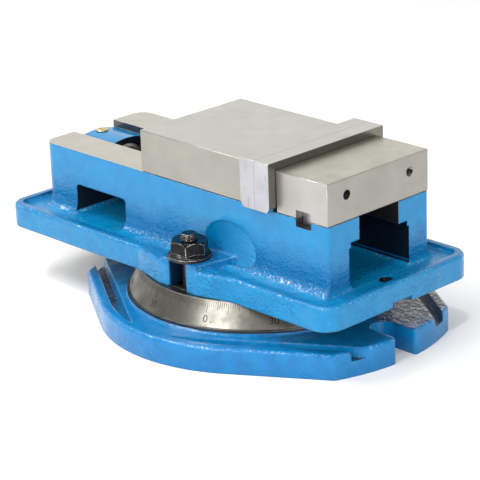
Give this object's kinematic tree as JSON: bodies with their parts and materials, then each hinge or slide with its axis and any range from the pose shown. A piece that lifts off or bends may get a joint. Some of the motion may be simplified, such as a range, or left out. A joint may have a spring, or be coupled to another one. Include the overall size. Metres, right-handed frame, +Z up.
{
  "type": "swivel milling vise",
  "caption": "Machine vise whose jaw slides on a bed under a lead screw; the bed turns on a round base with a degree ring and is clamped by nuts in its ears.",
  "frame": {"origin": "swivel axis at the base's flat underside", "axes": "+Z up along the swivel axis; +X along the bed towards the fixed jaw; +Y across the jaws, so the hexagon end of the screw points along -X"},
  "size_m": [0.4524, 0.316, 0.1863],
  "materials": {
    "blue_enamel": "bright blue enamel over cast iron, semi-gloss, chipped to bare metal and rust at its edges",
    "ground_steel": "ground steel with a dull fine grain and light scratches",
    "plate_steel": "hardened ground steel, dark smooth faces and bright ends",
    "ring_steel": "turned steel, bright in bands, with graduations cut dark",
    "bright_steel": "machined steel, clean",
    "black_oxide": "black oxide, satin, worn at the corners",
    "bronze": "bearing bronze",
    "brass": "dull brass"
  },
  "bodies": {
    "base": {"swivel_base": "blue_enamel", "degree_ring": "ring_steel", "centre_pivot": "bright_steel"},
    "vise_bed": {"bed_casting": "blue_enamel", "fixed_jaw": "ground_steel", "fixed_jaw_key": "bright_steel", "fixed_jaw_bolt_1": "black_oxide", "fixed_jaw_bolt_2": "black_oxide", "fixed_jaw_bolt_3": "black_oxide", "fixed_jaw_bolt_4": "black_oxide", "fixed_jaw_plate": "plate_steel", "fixed_plate_screw_near": "black_oxide", "fixed_plate_screw_far": "black_oxide", "screw_bush": "bronze", "thrust_race_housing": "bright_steel", "oil_cup": "brass", "t_bolt_near": "black_oxide", "t_bolt_far": "black_oxide", "clamp_washer_near": "black_oxide", "clamp_washer_far": "black_oxide"},
    "movable_jaw": {"movable_jaw": "ground_steel", "movable_jaw_plate": "plate_steel", "movable_plate_screw_near": "black_oxide", "movable_plate_screw_far": "black_oxide", "half_ball": "bright_steel", "jaw_nut": "bright_steel", "jaw_adjusting_screw": "black_oxide"},
    "lead_screw": {"lead_screw": "bright_steel", "thrust_race_shaft": "bright_steel", "thrust_cage": "brass", "thrust_ball_1": "bright_steel", "thrust_ball_2": "bright_steel", "thrust_ball_3": "bright_steel", "thrust_ball_4": "bright_steel", "thrust_ball_5": "bright_steel", "thrust_ball_6": "bright_steel", "thrust_ball_7": "bright_steel", "thrust_ball_8": "bright_steel", "thrust_ball_9": "bright_steel", "thrust_ball_10": "bright_steel", "thrust_ball_11": "bright_steel", "thrust_ball_12": "bright_steel", "thrust_ball_13": "bright_steel", "thrust_ball_14": "bright_steel", "retaining_collar": "bright_steel", "collar_grub_screw": "black_oxide"},
    "clamp_nut_near": {"clamp_nut_near": "black_oxide"},
    "clamp_nut_far": {"clamp_nut_far": "black_oxide"}
  },
  "joints": [
    {"name": "swivel", "type": "hinge", "parent": "base", "child": "vise_bed", "pos_m": [0, 0, 0], "axis": [0, 0, 1], "continuous": true},
    {"name": "screw_spin", "type": "hinge", "parent": "vise_bed", "child": "lead_screw", "pos_m": [-0.1877, 0, 0.1075], "axis": [-1, 0, 0], "range_deg": [0, 10560]},
    {"name": "jaw_slide", "type": "slide", "parent": "vise_bed", "child": "movable_jaw", "axis": [-1, 0, 0], "range_m": [0, 0.149]},
    {"name": "near_nut_turn", "type": "hinge", "parent": "vise_bed", "child": "clamp_nut_near", "pos_m": [0, -0.091, 0.09], "axis": [0, 0, 1], "range_deg": [0, 180]},
    {"name": "far_nut_turn", "type": "hinge", "parent": "vise_bed", "child": "clamp_nut_far", "pos_m": [0, 0.091, 0.09], "axis": [0, 0, 1], "range_deg": [0, 180]}
  ],
  "couplings": [
    {"joint": "screw_spin", "follows": "jaw_slide", "rad_per_m": 1236.8}
  ]
}
